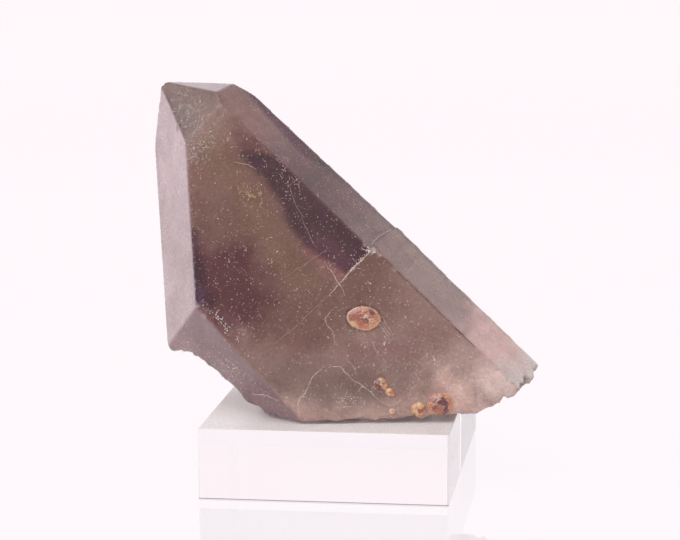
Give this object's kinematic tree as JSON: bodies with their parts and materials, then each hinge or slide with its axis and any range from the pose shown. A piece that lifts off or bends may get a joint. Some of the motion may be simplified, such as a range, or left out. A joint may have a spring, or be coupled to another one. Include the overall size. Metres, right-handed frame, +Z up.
{
  "type": "mineral specimen on display block",
  "caption": "Slanting smoky quartz crystal with garnets set in its front face, resting on a clear rectangular display block.",
  "frame": {"origin": "middle of the display block's underside", "axes": "+Z up, -Y to the front, +X along the block's front edge to the viewer's right"},
  "size_m": [0.0562, 0.05, 0.0564],
  "materials": {
    "display_block": "clear, polished, see-through",
    "smoky_quartz": "grey-brown, see-through where thin, glossy faces with fine scratches, rough broken underside",
    "spessartine": "orange to red-brown, glossy, finely cracked"
  },
  "bodies": {
    "root": {"display_block": "display_block", "smoky_quartz": "smoky_quartz", "spessartine_large": "spessartine", "spessartine_cluster": "spessartine", "spessartine_pair": "spessartine", "spessartine_speck": "spessartine"}
  },
  "joints": []
}
